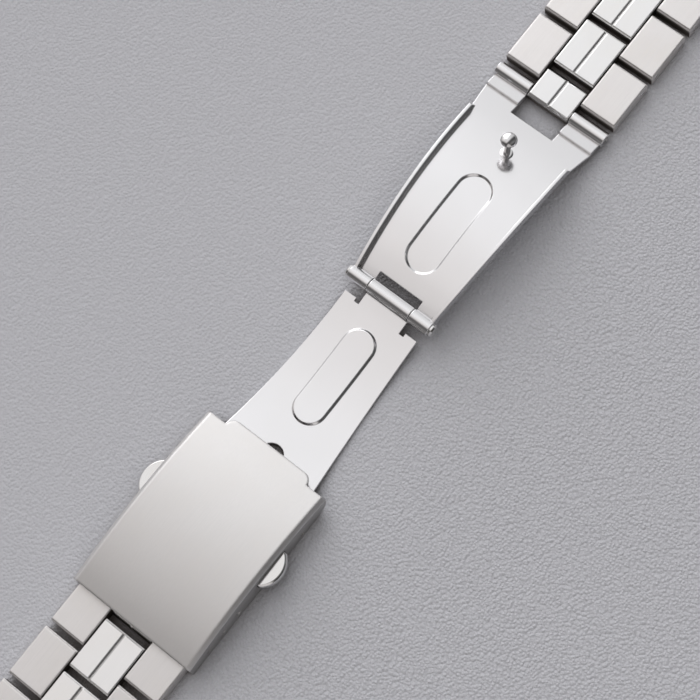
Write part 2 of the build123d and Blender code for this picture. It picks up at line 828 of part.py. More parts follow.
def clasp_nodes():
    pin_end = wall_outside - link_pin_recess
    link_pin_end = half_width - link_pin_recess
    button = push_button()
    spring = button_spring()
    tip = spring_bar_tip()
    return {
        "clasp_cover": clasp_cover(),
        "latch_cage": latch_cage(),
        "push_button_left": [button],
        "push_button_right": [half_turn(button)],
        "button_spring_left": [spring],
        "button_spring_right": [half_turn(spring)],
        "cover_hinge_pin": [rod(cover_hinge_at, cover_hinge_pin_radius, -pin_end, pin_end)],
        "spring_bar_tube": spring_bar_tube(),
        "spring_bar_spring": spring_bar_spring(),
        "spring_bar_tip_left": [tip],
        "spring_bar_tip_right": [mirror(tip, Plane.XZ)],
        "middle_blade": placed_middle(middle_blade()),
        "blade_hinge_pin": placed_base(blade_hinge_pin()),
        "base_blade": placed_base(base_blade()),
        "latch_stud": placed_base(latch_stud()),
        "base_link_pin": [rod(link_pin_at, blade_link_pin_radius, -link_pin_end, link_pin_end)],
    }


def link_nodes():
    nodes = {}
    cover_half_link = half_links(bar_tube_radius + hinge_clearance)
    spring_bar_side = [Rot(0, 0, 180) * s for s in cover_half_link]
    nodes["cover_half_links"] = seat(spring_bar_side, (0, 0), (-half_link_pitch, 0),
                                     spring_bar_at, (cover_rows_x, link_half))
    nodes["base_half_links"] = towards_blade_side(
        half_links(blade_link_pin_radius + hinge_clearance), link_pin_at[0], link_half)
    row = link_row()
    for n in range(rows_per_side):
        for kind, solids in row.items():
            cover_x = cover_rows_x - n * row_pitch
            base_x = blade_rows_x + n * row_pitch
            nodes[f"cover_row_{n + 1}_{kind}"] = towards_cover_side(solids, cover_x, link_half)
            nodes[f"base_row_{n + 1}_{kind}"] = towards_blade_side(solids, base_x, link_half)
    run = rows_per_side * row_pitch
    nodes["cover_end_link"] = towards_cover_side(end_link(), cover_rows_x - run, link_half)
    nodes["base_end_link"] = towards_blade_side(end_link(), blade_rows_x + run, link_half)
    return nodes


def write(nodes):
    os.makedirs("parts", exist_ok=True)
    for name, solids in nodes.items():
        moved = [Pos(-middle_x, 0, 0) * s for s in solids]
        shapes = [solid for piece in moved for solid in piece.solids()]
        shape = shapes[0] if len(shapes) == 1 else Compound(shapes)
        export_step(shape, f"parts/{name}.step")


write({**clasp_nodes(), **link_nodes()})
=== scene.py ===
"""Finishes for the link watch bracelet: steel surfaces, broken edges, springs and stage."""
import json
import math

import bmesh
import bpy
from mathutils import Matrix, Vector


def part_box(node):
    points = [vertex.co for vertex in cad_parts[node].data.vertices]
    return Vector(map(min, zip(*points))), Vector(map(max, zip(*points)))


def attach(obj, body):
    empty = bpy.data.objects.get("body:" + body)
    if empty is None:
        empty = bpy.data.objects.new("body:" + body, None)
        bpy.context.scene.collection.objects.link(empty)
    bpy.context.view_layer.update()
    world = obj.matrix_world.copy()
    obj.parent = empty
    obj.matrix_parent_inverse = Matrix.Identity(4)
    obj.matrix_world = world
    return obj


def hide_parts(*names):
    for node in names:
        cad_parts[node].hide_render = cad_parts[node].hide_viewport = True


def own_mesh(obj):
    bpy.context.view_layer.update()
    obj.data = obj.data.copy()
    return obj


bl_info = {
    "name": "Link watch bracelet",
    "version": (1, 0, 0),
    "blender": (4, 5, 0),
    "location": "3D View > Sidebar > Bracelet",
    "description": "Finishes an open link bracelet with its folding clasp, and sets up its stage",
    "category": "Object",
}

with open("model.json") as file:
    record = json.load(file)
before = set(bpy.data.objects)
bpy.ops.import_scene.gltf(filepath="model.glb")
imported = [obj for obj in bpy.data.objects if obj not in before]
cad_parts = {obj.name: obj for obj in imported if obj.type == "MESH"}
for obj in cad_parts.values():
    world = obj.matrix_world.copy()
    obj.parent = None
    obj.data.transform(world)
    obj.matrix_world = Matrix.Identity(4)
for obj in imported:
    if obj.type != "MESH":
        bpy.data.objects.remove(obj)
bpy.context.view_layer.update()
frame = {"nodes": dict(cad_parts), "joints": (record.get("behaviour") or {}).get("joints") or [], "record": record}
nodes = frame["nodes"]

# Where the painted shade in the links' gaps and on the cover's walls, and the seam line,
# change, as the two ends of each soft change: places off the middle and heights in metres,
# and sizes of the normal's part for faces turned that way
GAP_SIDE_PLACES = (0.0096, 0.0097)
GAP_END_HEIGHTS = (0.0013, 0.0026)
SEAM_PLACES = (0.00001, 0.00003)
FACING = (0.8, 0.95)
WALL_FACING = (0.7, 0.95)

# Which part of each pattern changes the tone of the steel
CLOUD_RANGE = (0.35, 0.68)
LINE_RANGE = (0.36, 0.66)
SCRATCH_RANGE = (0.3, 0.7)
# The crease range: where the painted shade of creases starts and where it is full
CREASE_SHADE_RANGE = (0.25, 0.8)
CLOUD_SCALE = 140.0
WAVE_SCALE = 110.0
SCRATCH_SCALE = (900, 9000, 9000)
SCRATCH_HEIGHT_SHARE = 0.4

# The domed pin ends, as shares of their radius and stand, and how deep they start
PIN_END_SHARES = ((1.0, 0.2), (0.93, 0.55), (0.6, 0.9), (0.0, 1.0))
PIN_END_SINK = 0.0002

# The turned stud: its head's arc, its collars from the head down, and each collar's edge
# as shares of the collar's radius and height
STUD_HEAD_POINTS = 19
STUD_HEAD_STEP = math.radians(8.5)
STUD_NECK_RUN = 0.0001
STUD_COLLAR_SHARES = (0.88, 1.0)
STUD_WAIST_SHARE = 1.1
STUD_WAIST_END_SHARE = 0.36
STUD_RING_SHARES = ((0.9, 0.42), (1.0, 0.56), (1.0, 0.8), (0.9, 0.94))
STUD_FOOT_SHARE = 0.05

# The studio's brightness by the X and by the Y of the way looked, the edges of its two
# bright patches, and where its tint turns warm
SKY_ALONG_X = (
    (-1.0, 0.2), (-0.8, 0.08), (-0.62, 0.12), (-0.44, 0.48), (-0.28, 0.81),
    (-0.12, 0.91), (0.3, 1.07), (0.5, 0.98), (0.8, 0.86), (1.0, 0.75))
SKY_ALONG_Y = (
    (-1.0, 0.05), (-0.86, 0.05), (-0.72, 0.2), (-0.5, 0.16), (-0.36, 0.06),
    (-0.16, 0.08), (0.08, 0.97), (0.4, 1.0), (0.8, 1.1), (1.0, 0.7))
WINDOW_EDGES = (0.14, 0.42), (0.28, 0.46)
PANEL_EDGES = (-0.25, -0.5), (-0.2, -0.42)
WARM_EDGES = (0.35, -0.35)

# Where the floor's grain turns finer and its tone deeper, by its Y; the deeper tone toward +Y is painted shade for
# the light falling off
FINER_AND_SHADED_PLACES = (-0.04, 0.03)


def body_of_node(name):
    for body, members in frame["record"]["behaviour"]["bodies"].items():
        if name in members:
            return body
    raise ValueError(f"no body holds {name}")


def shaded(color, share):
    return tuple(part * share for part in color)


# ---------------------------------------------------------------- settings


class SteelSettings(bpy.types.PropertyGroup):
    satin_color: bpy.props.FloatVectorProperty(
        name="Satin colour", description="Colour of the brushed outer links",
        default=(0.815, 0.792, 0.782), subtype="COLOR", min=0, max=1)
    cover_color: bpy.props.FloatVectorProperty(
        name="Cover colour", description="Colour of the brushed clasp cover",
        default=(0.8, 0.785, 0.777), subtype="COLOR", min=0, max=1)
    polished_color: bpy.props.FloatVectorProperty(
        name="Polished colour", description="Colour of the centre links, pins and buttons",
        default=(0.86, 0.855, 0.853), subtype="COLOR", min=0, max=1)
    stud_color: bpy.props.FloatVectorProperty(
        name="Stud colour", description="Colour of the turned latch stud",
        default=(0.74, 0.735, 0.74), subtype="COLOR", min=0, max=1)
    blade_color: bpy.props.FloatVectorProperty(
        name="Blade colour", description="Colour of the mirror polished blades",
        default=(0.87, 0.863, 0.872), subtype="COLOR", min=0, max=1)
    # Painted shade deep in the links' gaps and in the creases of the cover and blades; the same colour also draws
    # the centre links' seam line
    shade_and_seam_color: bpy.props.FloatVectorProperty(
        name="Gap colour", description="Colour of the dull faces deep between the links",
        default=(0.17, 0.15, 0.135), subtype="COLOR", min=0, max=1)
    # Painted shade on the cover's side walls
    painted_wall_shade: bpy.props.FloatProperty(
        name="Wall shade", description="Share of the cover's colour that its side walls keep",
        default=0.6, min=0, max=1, subtype="FACTOR")
    # Reaches of the painted shade in the creases of the cover and of the blades
    cover_crease_shade_reach: bpy.props.FloatProperty(
        name="Cover crease reach", description="How far from a crease the cover darkens",
        default=0.0009, min=0, max=0.003, unit="LENGTH", precision=5)
    blade_crease_shade_reach: bpy.props.FloatProperty(
        name="Blade crease reach", description="How far from a crease a blade darkens",
        default=0.00072, min=0, max=0.003, unit="LENGTH", precision=5)
    satin_roughness: bpy.props.FloatProperty(
        name="Satin roughness", description="Roughness of the brushed outer links",
        default=0.42, min=0, max=1, subtype="FACTOR")
    cover_roughness: bpy.props.FloatProperty(
        name="Cover roughness", description="Roughness of the brushed clasp cover",
        default=0.45, min=0, max=1, subtype="FACTOR")
    polished_roughness: bpy.props.FloatProperty(
        name="Polished roughness", description="Roughness of the polished centre links",
        default=0.16, min=0, max=1, subtype="FACTOR")
    button_roughness: bpy.props.FloatProperty(
        name="Button roughness", description="Roughness of the push buttons",
        default=0.14, min=0, max=1, subtype="FACTOR")
    pin_roughness: bpy.props.FloatProperty(
        name="Pin roughness", description="Roughness of the turned pins",
        default=0.12, min=0, max=1, subtype="FACTOR")
    stud_roughness: bpy.props.FloatProperty(
        name="Stud roughness", description="Roughness of the turned latch stud",
        default=0.15, min=0, max=1, subtype="FACTOR")
    blade_roughness: bpy.props.FloatProperty(
        name="Blade roughness", description="Roughness of the mirror polished blades",
        default=0.14, min=0, max=1, subtype="FACTOR")
    edge_width: bpy.props.FloatProperty(
        name="Edge break", description="Width of the broken edges of outer links and buttons",
        default=0.00007, min=0, max=0.001, unit="LENGTH", precision=5)
    centre_edge_width: bpy.props.FloatProperty(
        name="Centre edge break", description="Width of the broken edges of the centre links",
        default=0.000056, min=0, max=0.001, unit="LENGTH", precision=6)
    fine_edge_width: bpy.props.FloatProperty(
        name="Fine edge break", description="Width of the broken edges of the latch cage",
        default=0.00004, min=0, max=0.001, unit="LENGTH", precision=5)
    cover_round: bpy.props.FloatProperty(
        name="Cover rounding", description="Radius that softens the cover's long edges",
        default=0.0005, min=0, max=0.003, unit="LENGTH", precision=5)
    link_round: bpy.props.FloatProperty(
        name="Link rounding", description="Radius that softens the edges of the outer links",
        default=0.0003, min=0, max=0.003, unit="LENGTH", precision=5)
    seam_round: bpy.props.FloatProperty(
        name="Seam rounding", description="Radius that softens the seam of the centre links",
        default=0.00025, min=0, max=0.003, unit="LENGTH", precision=5)
    sheet_round: bpy.props.FloatProperty(
        name="Sheet rounding", description="Radius that softens the pressed steps of the blades",
        default=0.00018, min=0, max=0.003, unit="LENGTH", precision=5)


class SmallPartSettings(bpy.types.PropertyGroup):
    pin_end_radius: bpy.props.FloatProperty(
        name="Pin end radius", description="Radius of the pin ends on the links' sides",
        default=0.0005, min=0.0001, max=0.002, unit="LENGTH", precision=5)
    pin_end_stand: bpy.props.FloatProperty(
        name="Pin end stand", description="How far a pin end is domed out of its link",
        default=0.00004, min=0, max=0.001, unit="LENGTH", precision=5)
    stud_head_radius: bpy.props.FloatProperty(
        name="Stud head radius", description="Radius of the latch stud's ball head",
        default=0.0013, min=0.0003, max=0.003, unit="LENGTH", precision=5)
    stud_head_rise: bpy.props.FloatProperty(
        name="Stud head rise", description="Height of the ball head above its widest ring",
        default=0.0008, min=0.0003, max=0.003, unit="LENGTH", precision=5)
    stud_head_drop: bpy.props.FloatProperty(
        name="Stud head drop", description="Depth of the ball head below its widest ring",
        default=0.00047, min=0.0002, max=0.003, unit="LENGTH", precision=5)
    stud_neck_radius: bpy.props.FloatProperty(
        name="Stud neck radius", description="Radius of the neck under the ball head",
        default=0.0005, min=0.0002, max=0.002, unit="LENGTH", precision=5)
    stud_collar_radius: bpy.props.FloatProperty(
        name="Stud collar radius", description="Radius of the collar on the blade",
        default=0.00116, min=0.0003, max=0.003, unit="LENGTH", precision=5)
    stud_collar_height: bpy.props.FloatProperty(
        name="Stud collar height", description="Height of each of the stud's two collars",
        default=0.00036, min=0.0001, max=0.002, unit="LENGTH", precision=5)
    spring_wire: bpy.props.FloatProperty(
        name="Spring wire", description="Diameter of the springs' wire",
        default=0.00018, min=0.00005, max=0.001, unit="LENGTH", precision=5)
    spring_turns: bpy.props.IntProperty(
        name="Spring turns", description="Turns of each button spring", default=6, min=2, max=30)
    bar_spring_turns: bpy.props.IntProperty(
        name="Bar spring turns", description="Turns of each half of the spring bar's spring",
        default=11, min=2, max=40)


class StageSettings(bpy.types.PropertyGroup):
    floor_color: bpy.props.FloatVectorProperty(
        name="Floor colour", description="Colour of the fine-grained floor",
        default=(0.72, 0.72, 0.76), subtype="COLOR", min=0, max=1)
    floor_size: bpy.props.FloatProperty(
        name="Floor size", description="Length of the floor's sides",
        default=4.0, min=0.5, max=20, unit="LENGTH")
    floor_roughness: bpy.props.FloatProperty(
        name="Floor roughness", description="Roughness of the floor",
        default=0.55, min=0, max=1, subtype="FACTOR")
    # Painted shade on the floor in the links' gaps and near the bracelet: its colour and its reach
    contact_shade_color: bpy.props.FloatVectorProperty(
        name="Contact colour", description="Colour of the floor deep in the gaps between links",
        default=(0.11, 0.09, 0.076), subtype="COLOR", min=0, max=1)
    contact_shade_reach: bpy.props.FloatProperty(
        name="Contact reach", description="How far from the bracelet the floor darkens",
        default=0.006, min=0, max=0.02, unit="LENGTH", precision=5)
    pebble_size: bpy.props.FloatProperty(
        name="Pebble size", description="Size of the pebbles of the floor's leather grain",
        default=0.00044, min=0.0001, max=0.01, unit="LENGTH", precision=5)
    pebble_depth: bpy.props.FloatProperty(
        name="Pebble depth", description="Depth of the creases between the pebbles",
        default=0.00024, min=0, max=0.001, unit="LENGTH", precision=5)
    sky_level: bpy.props.FloatProperty(
        name="Sky level", description="Brightness of the bright side of the studio",
        default=0.95, min=0, max=4)
    shade_level: bpy.props.FloatProperty(
        name="Shade level", description="Brightness of the dark side of the studio",
        default=0.03, min=0, max=4)
    window_level: bpy.props.FloatProperty(
        name="Window level", description="How much brighter the studio's wide window is",
        default=1.35, min=0, max=4)
    panel_level: bpy.props.FloatProperty(
        name="Panel level", description="How much brighter the panel behind the cover's links is",
        default=0.6, min=0, max=4)
    cool_color: bpy.props.FloatVectorProperty(
        name="Cool side colour", description="Tint of the studio beyond the blades",
        default=(0.99, 0.99, 1.0), subtype="COLOR", min=0, max=1)
    warm_color: bpy.props.FloatVectorProperty(
        name="Warm side colour", description="Tint of the studio beyond the clasp's cover",
        default=(1.0, 0.965, 0.955), subtype="COLOR", min=0, max=1)
    backdrop_color: bpy.props.FloatVectorProperty(
        name="Backdrop colour", description="Colour seen past the floor's edge",
        default=(0.62, 0.62, 0.64), subtype="COLOR", min=0, max=1)
    key_power: bpy.props.FloatProperty(
        name="Key lamp power", description="Power of the soft key lamp",
        default=0.2, min=0, max=50, unit="POWER")
    key_place: bpy.props.FloatVectorProperty(
        name="Key lamp place", description="Where the key lamp hangs",
        default=(0.24, 0.53, 0.6), subtype="XYZ", unit="LENGTH")
    key_size: bpy.props.FloatVectorProperty(
        name="Key lamp size", description="Length and width of the key lamp",
        default=(0.5, 0.35), size=2, min=0.01, max=2, unit="LENGTH")
    overhead_power: bpy.props.FloatProperty(
        name="Overhead lamp power", description="Power of the broad lamp over the floor",
        default=0.4, min=0, max=50, unit="POWER")
    overhead_place: bpy.props.FloatVectorProperty(
        name="Overhead lamp place", description="Where the overhead lamp hangs",
        default=(0.02, -0.22, 0.5), subtype="XYZ", unit="LENGTH")
    overhead_size: bpy.props.FloatVectorProperty(
        name="Overhead lamp size", description="Length and width of the overhead lamp",
        default=(0.45, 0.45), size=2, min=0.01, max=2, unit="LENGTH")
    camera_place: bpy.props.FloatVectorProperty(
        name="Camera place", description="Where the camera stands",
        default=(-0.04629, -0.07609, 0.30539), subtype="XYZ", unit="LENGTH")
    camera_turn: bpy.props.FloatVectorProperty(
        name="Camera turn", description="How the camera is turned",
        default=(math.radians(15.265169), math.radians(5.945549), math.radians(-51.576794)),
        subtype="EULER", unit="ROTATION")
    camera_lens: bpy.props.FloatProperty(
        name="Camera lens", description="Focal length in millimetres on a 36 mm sensor",
        default=110.94, min=10, max=400)


# ---------------------------------------------------------------- node helpers


class Recipe:
    """A material or world node tree that is filled one node at a time."""

    def __init__(self, tree):
        self.tree = tree
        self.tree.nodes.clear()
        self.count = 0

    def add(self, kind, **settings):
        node = self.tree.nodes.new(kind)
        node.location = (220 * (self.count % 8), -260 * (self.count // 8))
        self.count += 1
        for key, value in settings.items():
            setattr(node, key, value)
        return node

    def join(self, source, target):
        self.tree.links.new(source, target)

    def feed(self, socket, value):
        """Puts a number or colour in a socket, or links another node's output to it."""
        if isinstance(value, bpy.types.NodeSocket):
            self.join(value, socket)
        elif socket.type == "RGBA":
            socket.default_value = (*value, 1)
        else:
            socket.default_value = value

    def math(self, operation, a, b, clamp=False):
        node = self.add("ShaderNodeMath", operation=operation, use_clamp=clamp)
        self.feed(node.inputs[0], a)
        self.feed(node.inputs[1], b)
        return node.outputs[0]

    def size_of(self, value):
        """A value without its sign."""
        node = self.add("ShaderNodeMath", operation="ABSOLUTE")
        self.join(value, node.inputs[0])
        return node.outputs[0]

    def remap(self, value, low, high, to_low=0.0, to_high=1.0, smooth=True):
        node = self.add("ShaderNodeMapRange",
                        interpolation_type="SMOOTHSTEP" if smooth else "LINEAR")
        self.feed(node.inputs["Value"], value)
        node.inputs["From Min"].default_value = low
        node.inputs["From Max"].default_value = high
        node.inputs["To Min"].default_value = to_low
        node.inputs["To Max"].default_value = to_high
        return node.outputs["Result"]

    def ramp(self, value, stops):
        """A smooth curve through stops of (value, result), both within their whole range."""
        first, last = stops[0][0], stops[-1][0]
        node = self.add("ShaderNodeValToRGB")
        node.color_ramp.interpolation = "EASE"
        marks = node.color_ramp.elements
        while len(marks) < len(stops):
            marks.new(0.5)
        for mark, (at, result) in zip(marks, stops):
            mark.position = (at - first) / (last - first)
            mark.color = (result, result, result, 1)
        self.join(self.remap(value, first, last, smooth=False), node.inputs[0])
        return node.outputs["Color"]

    def mix(self, factor, a, b):
        node = self.add("ShaderNodeMix", data_type="RGBA")
        self.feed(node.inputs[0], factor)
        self.feed(node.inputs[6], a)
        self.feed(node.inputs[7], b)
        return node.outputs[2]

    def noise(self, vector, scale, detail, roughness):
        node = self.add("ShaderNodeTexNoise")
        self.join(vector, node.inputs["Vector"])
        node.inputs["Scale"].default_value = scale
        node.inputs["Detail"].default_value = detail
        node.inputs["Roughness"].default_value = roughness
        return node.outputs["Fac"]

    def crease(self, reach):
        """How deep a point sits in a crease or gap of this reach, from 0 to 1."""
        node = self.add("ShaderNodeAmbientOcclusion", samples=4)
        node.inputs["Distance"].default_value = reach
        return self.math("SUBTRACT", 1.0, node.outputs["AO"])

    def stretched(self, vector, scale):
        node = self.add("ShaderNodeMapping")
        self.join(vector, node.inputs["Vector"])
        node.inputs["Scale"].default_value = scale
        return node.outputs["Vector"]

    def bump(self, height, distance, strength=1.0, over=None):
        """A surface raised by a height pattern, over another normal where one is given."""
        node = self.add("ShaderNodeBump")
        node.inputs["Strength"].default_value = strength
        node.inputs["Distance"].default_value = distance
        self.join(height, node.inputs["Height"])
        if over is not None:
            self.join(over, node.inputs["Normal"])
        return node.outputs["Normal"]

    def rounding(self, radius):
        node = self.add("ShaderNodeBevel", samples=6)
        node.inputs["Radius"].default_value = radius
        return node.outputs["Normal"]


def place_and_facing(recipe):
    """The object's place, its X, Y and Z, and the X, Y and Z of the surface normal."""
    where = recipe.add("ShaderNodeTexCoord")
    place = recipe.add("ShaderNodeSeparateXYZ")
    recipe.join(where.outputs["Object"], place.inputs[0])
    facing = recipe.add("ShaderNodeSeparateXYZ")
    recipe.join(where.outputs["Normal"], facing.inputs[0])
    return where.outputs["Object"], place.outputs, facing.outputs


def new_material(name):
    material = bpy.data.materials.new(name)
    material.use_nodes = True
    return material, Recipe(material.node_tree)


def steel(name, color, roughness, bump, grain=0.0, grain_scale=(60, 5200, 5200), wave=0.0,
          spread=0.05, tint=(0.97, 0.96, 0.94), masks=None, soften=0.0, crease=None):
    """A steel finish: grain lines along X, cloudy tone, fine scratches and dull gap faces.

    bump is the height of the grain lines in metres, grain how far they change the tone,
    wave a slow unevenness of the sheet, spread how far scratches change the roughness,
    tint the clouds' colour, soften the radius that rounds the edges, crease the reach and
    colour of the painted shade in its creases, and masks a function that returns, for each face to
    paint, its mask, its colour and how much duller it is."""
    material, recipe = new_material(name)
    where, place, facing = place_and_facing(recipe)
    lines = recipe.noise(recipe.stretched(where, grain_scale), 1.0, 3.0, 0.65)
    clouds = recipe.noise(where, CLOUD_SCALE, 3.0, 0.5)
    scratches = recipe.noise(recipe.stretched(where, SCRATCH_SCALE), 1.0, 5.0, 0.7)
    cloudy = tuple(part * share for part, share in zip(color, tint))
    tone = recipe.mix(recipe.remap(clouds, *CLOUD_RANGE), tuple(color), cloudy)
    tone = recipe.mix(recipe.remap(lines, *LINE_RANGE, to_high=0.8), tone,
                      shaded(color, 1 - grain))
    rough = recipe.math("ADD", roughness - spread / 2, recipe.math(
        "MULTIPLY", recipe.remap(scratches, *SCRATCH_RANGE), spread))
    # Painted shade: the tone darkens toward the paint colour deep in creases and gaps, by ambient occlusion
    if crease:
        reach, paint = crease
        tone = recipe.mix(recipe.remap(recipe.crease(reach), *CREASE_SHADE_RANGE, to_high=0.85),
                          tone, paint)
    # Painted shade on the masked faces: the faces deep in the links' gaps and the cover's walls; the seam line is
    # a dark joint
    if masks:
        for mask, paint, dull in masks(recipe, place, facing):
            tone = recipe.mix(mask, tone, paint)
            rough = recipe.math("ADD", rough, recipe.math("MULTIPLY", mask, dull), clamp=True)
    height = recipe.math("ADD", lines, recipe.math("MULTIPLY", scratches, SCRATCH_HEIGHT_SHARE))
    normal = recipe.bump(height, bump, over=recipe.rounding(soften) if soften else None)
    if wave:
        normal = recipe.bump(recipe.noise(where, WAVE_SCALE, 1.0, 0.4), wave, over=normal)
    shader = recipe.add("ShaderNodeBsdfPrincipled")
    shader.inputs["Metallic"].default_value = 1.0
    recipe.join(tone, shader.inputs["Base Color"])
    recipe.join(rough, shader.inputs["Roughness"])
    recipe.join(normal, shader.inputs["Normal"])
    output = recipe.add("ShaderNodeOutputMaterial")
    recipe.join(shader.outputs[0], output.inputs[0])
    material.diffuse_color = (*color, 1)
    material.metallic = 1.0


def gap_masks(shade_and_seam, seam=False):
    """Dull faces between the links painted dark as painted shade, and the line of the seam between centre links.
    """
    def masks(recipe, place, facing):
        off_middle = recipe.size_of(place["Y"])
        sideways = recipe.remap(recipe.size_of(facing["Y"]), *FACING)
        inner = recipe.remap(off_middle, *GAP_SIDE_PLACES, 1.0, 0.0)
        endways = recipe.remap(recipe.size_of(facing["X"]), *FACING)
        below_lip = recipe.remap(place["Z"], *GAP_END_HEIGHTS, 1.0, 0.0)
        # Painted shade on the side faces and end faces deep in the gaps; the seam is a dark joint line
        found = [(recipe.math("MULTIPLY", sideways, inner), shade_and_seam, 0.35),
                 (recipe.math("MULTIPLY", endways, below_lip), shade_and_seam, 0.35)]
        if seam:
            found.append((recipe.remap(off_middle, *SEAM_PLACES, 1.0, 0.0), shade_and_seam, 0.3))
        return found
    return masks


def wall_shade_mask(color):
    """The cover's upright side walls, which are duller than its top and painted darker as painted shade."""
    def masks(recipe, place, facing):
        return [(recipe.remap(recipe.size_of(facing["Y"]), *WALL_FACING), color, 0.08)]
    return masks


# ---------------------------------------------------------------- piece helpers


def set_finish(name, material, edge=0.0):
    """Gives a CAD node its finish, and breaks its sharp edges where a width is given."""
    obj = nodes[name]
    for slot in obj.material_slots:
        slot.link = "OBJECT"
        slot.material = material
    if edge:
        weld = obj.modifiers.new("Joined corners", "WELD")
        weld.merge_threshold = 0.000002
        bevel = obj.modifiers.new("Broken edges", "BEVEL")
        bevel.width = edge
        bevel.segments = 2
        bevel.limit_method = "ANGLE"
        bevel.angle_limit = math.radians(28)
        bevel.use_clamp_overlap = True
        bevel.harden_normals = True


def mesh_piece(name, mesh_data, material, body, smooth_angle=40.0):
    """Makes an object of a bmesh, with a finish, on a body of the frame."""
    mesh = bpy.data.meshes.new(name)
    bmesh.ops.recalc_face_normals(mesh_data, faces=mesh_data.faces)
    mesh_data.to_mesh(mesh)
    mesh_data.free()
    mesh.materials.append(material)
    mesh.shade_smooth()
    mesh.set_sharp_from_angle(angle=math.radians(smooth_angle))
    obj = bpy.data.objects.new(name, mesh)
    bpy.context.scene.collection.objects.link(obj)
    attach(obj, body)
    return obj


def lathe(mesh_data, centre, axis, profile, steps=28):
    """Turns a profile of (radius, distance along the axis) about an axis through a point."""
    axis = Vector(axis).normalized()
    side = axis.orthogonal().normalized()
    other = axis.cross(side)
    rings = []
    for radius, reach in profile:
        if radius == 0:
            rings.append([mesh_data.verts.new(Vector(centre) + axis * reach)])
            continue
        ring = []
        for n in range(steps):
            turn = 2 * math.pi * n / steps
            out = side * math.cos(turn) + other * math.sin(turn)
            ring.append(mesh_data.verts.new(Vector(centre) + axis * reach + out * radius))
        rings.append(ring)
    for first, second in zip(rings, rings[1:]):
        for n in range(steps):
            a, b = n % len(first), (n + 1) % len(first)
            c, d = (n + 1) % len(second), n % len(second)
            corners = []
            for vert in (first[a], first[b], second[c], second[d]):
                if vert not in corners:
                    corners.append(vert)
            if len(corners) > 2:
                mesh_data.faces.new(corners)


def coil(mesh_data, start, end, radius, wire, turns, around=10, per_turn=20):
    """A round wire wound about the line between two points."""
    start, end = Vector(start), Vector(end)
    axis = (end - start).normalized()
    side = axis.orthogonal().normalized()
    other = axis.cross(side)
    length = (end - start).length - wire
    last = None
    steps = turns * per_turn
    for n in range(steps + 1):
        turn = 2 * math.pi * n / per_turn
        out = side * math.cos(turn) + other * math.sin(turn)
        centre = start + axis * (wire / 2 + length * n / steps) + out * (radius - wire / 2)
        ring = []
        for k in range(around):
            bend = 2 * math.pi * k / around
            ring.append(mesh_data.verts.new(
                centre + (out * math.cos(bend) + axis * math.sin(bend)) * wire / 2))
        if last:
            for k in range(around):
                mesh_data.faces.new((last[k], last[(k + 1) % around],
                                     ring[(k + 1) % around], ring[k]))
        else:
            mesh_data.faces.new(ring)
        last = ring
    mesh_data.faces.new(last)


# ---------------------------------------------------------------- finishes


def finishes(scene):
    """The bracelet's steel finishes, made once and shared by its pieces."""
    if "Satin outer link" in bpy.data.materials:
        return bpy.data.materials
    looks = scene.bracelet_steel
    # Painted shade: this colour goes on the faces deep in the links' gaps and into the creases of the cover and
    # blades; it also draws the seam line
    shade_and_seam = tuple(looks.shade_and_seam_color)
    steel("Satin outer link", looks.satin_color, looks.satin_roughness, bump=0.0000006,
          grain=0.045, grain_scale=(90, 6500, 6500), spread=0.1, masks=gap_masks(shade_and_seam),
          soften=looks.link_round)
    steel("Polished centre link", looks.polished_color, looks.polished_roughness,
          bump=0.0000004, grain=0.03, grain_scale=(140, 5000, 5000), spread=0.08,
          masks=gap_masks(shade_and_seam, seam=True), soften=looks.seam_round)
    # The cover's walls keep only the wall share of its colour, as painted shade
    steel("Satin clasp cover", looks.cover_color, looks.cover_roughness, bump=0.0000006,
          grain=0.03, grain_scale=(70, 7000, 7000), spread=0.08, tint=(0.985, 0.98, 0.972),
          masks=wall_shade_mask(shaded(looks.cover_color, looks.painted_wall_shade)),
          soften=looks.cover_round, crease=(looks.cover_crease_shade_reach, shade_and_seam))
    steel("Mirror blade", looks.blade_color, looks.blade_roughness, bump=0.0000001,
          grain=0.015, grain_scale=(200, 3000, 3000), wave=0.000004, spread=0.04,
          tint=(0.98, 0.98, 0.975), soften=looks.sheet_round,
          crease=(looks.blade_crease_shade_reach, shade_and_seam))
    steel("Polished button", looks.polished_color, looks.button_roughness, bump=0.0000003,
          grain=0.02, spread=0.06)
    steel("Turned pin", looks.polished_color, looks.pin_roughness, bump=0.0000004,
          grain=0.04, grain_scale=(9000, 120, 9000), spread=0.06)
    steel("Turned stud", looks.stud_color, looks.stud_roughness, bump=0.0000001,
          grain=0.02, spread=0.04)
    steel("Stamped cage", shaded(looks.satin_color, 0.8), 0.4, bump=0.0000015,
          grain=0.08, grain_scale=(3000, 80, 3000), spread=0.12)
    steel("Spring wire", shaded(looks.polished_color, 0.72), 0.28, bump=0.0000004,
          grain=0.05, spread=0.08)
    return bpy.data.materials


